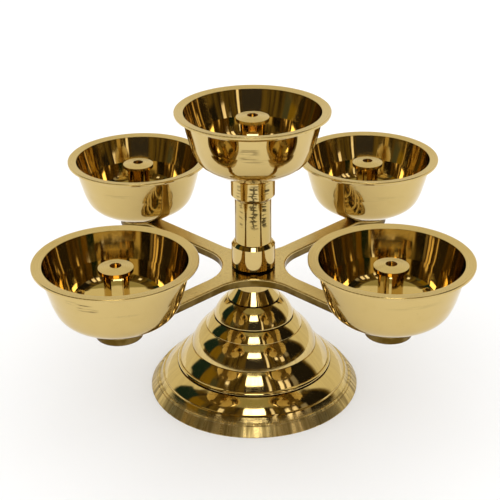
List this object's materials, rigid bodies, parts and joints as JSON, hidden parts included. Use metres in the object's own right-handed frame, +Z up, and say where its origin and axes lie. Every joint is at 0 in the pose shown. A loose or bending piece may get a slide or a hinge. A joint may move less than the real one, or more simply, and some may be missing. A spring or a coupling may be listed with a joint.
{
  "type": "brass standing oil lamp",
  "caption": "Free-standing turned brass oil lamp: a flat cross carries deep cups with slotted wick holders around a short column that bears a raised cup.",
  "frame": {"origin": "middle of the foot's underside, on the surface it stands on", "axes": "+Z up the column; +X to the right and +Y to the back, with the arms at 45 degrees between them"},
  "size_m": [0.1983, 0.1984, 0.1499],
  "materials": {
    "foot_brass": "turned and mirror polished, fine ring marks on the bottom band",
    "cast_brass": "cast flat, polished, with a few pin holes",
    "column_brass": "turned and polished, faint tool marks",
    "cup_brass": "mirror polished with a finely brushed lip",
    "holder_brass": "turned, polished",
    "fastener_brass": "as turned, dull",
    "seal_fibre": "pressed fibre, matt"
  },
  "bodies": {
    "stand": {"base_dome": "foot_brass", "base_washer": "fastener_brass", "base_nut": "fastener_brass", "tie_rod": "fastener_brass"},
    "arm_cross": {"arm_spider": "cast_brass"},
    "column": {"lower_collar": "column_brass", "stem_tube": "column_brass", "upper_collar": "column_brass"},
    "cup_top": {"cup_top": "cup_brass", "seal_washer_top": "seal_fibre"},
    "wick_holder_top": {"wick_holder_top": "holder_brass"},
    "cup_front_left": {"cup_front_left": "cup_brass", "seal_washer_front_left": "seal_fibre"},
    "wick_holder_front_left": {"wick_holder_front_left": "holder_brass"},
    "cup_front_right": {"cup_front_right": "cup_brass", "seal_washer_front_right": "seal_fibre"},
    "wick_holder_front_right": {"wick_holder_front_right": "holder_brass"},
    "cup_back_left": {"cup_back_left": "cup_brass", "seal_washer_back_left": "seal_fibre"},
    "wick_holder_back_left": {"wick_holder_back_left": "holder_brass"},
    "cup_back_right": {"cup_back_right": "cup_brass", "seal_washer_back_right": "seal_fibre"},
    "wick_holder_back_right": {"wick_holder_back_right": "holder_brass"}
  },
  "joints": [
    {"name": "cross_turn", "type": "hinge", "parent": "stand", "child": "arm_cross", "pos_m": [0, 0, 0.0654], "axis": [0, 0, 1], "continuous": true},
    {"name": "column_lift", "type": "slide", "parent": "stand", "child": "column", "axis": [0, 0, 1], "range_m": [0, 0.03]},
    {"name": "cup_top_lift", "type": "slide", "parent": "column", "child": "cup_top", "axis": [0, 0, 1], "range_m": [0, 0.045]},
    {"name": "wick_holder_top_lift", "type": "slide", "parent": "cup_top", "child": "wick_holder_top", "axis": [0, 0, 1], "range_m": [0, 0.045]},
    {"name": "cup_front_left_lift", "type": "slide", "parent": "arm_cross", "child": "cup_front_left", "axis": [0, 0, 1], "range_m": [0, 0.045]},
    {"name": "wick_holder_front_left_lift", "type": "slide", "parent": "cup_front_left", "child": "wick_holder_front_left", "axis": [0, 0, 1], "range_m": [0, 0.045]},
    {"name": "cup_front_right_lift", "type": "slide", "parent": "arm_cross", "child": "cup_front_right", "axis": [0, 0, 1], "range_m": [0, 0.045]},
    {"name": "wick_holder_front_right_lift", "type": "slide", "parent": "cup_front_right", "child": "wick_holder_front_right", "axis": [0, 0, 1], "range_m": [0, 0.045]},
    {"name": "cup_back_left_lift", "type": "slide", "parent": "arm_cross", "child": "cup_back_left", "axis": [0, 0, 1], "range_m": [0, 0.045]},
    {"name": "wick_holder_back_left_lift", "type": "slide", "parent": "cup_back_left", "child": "wick_holder_back_left", "axis": [0, 0, 1], "range_m": [0, 0.045]},
    {"name": "cup_back_right_lift", "type": "slide", "parent": "arm_cross", "child": "cup_back_right", "axis": [0, 0, 1], "range_m": [0, 0.045]},
    {"name": "wick_holder_back_right_lift", "type": "slide", "parent": "cup_back_right", "child": "wick_holder_back_right", "axis": [0, 0, 1], "range_m": [0, 0.045]}
  ]
}
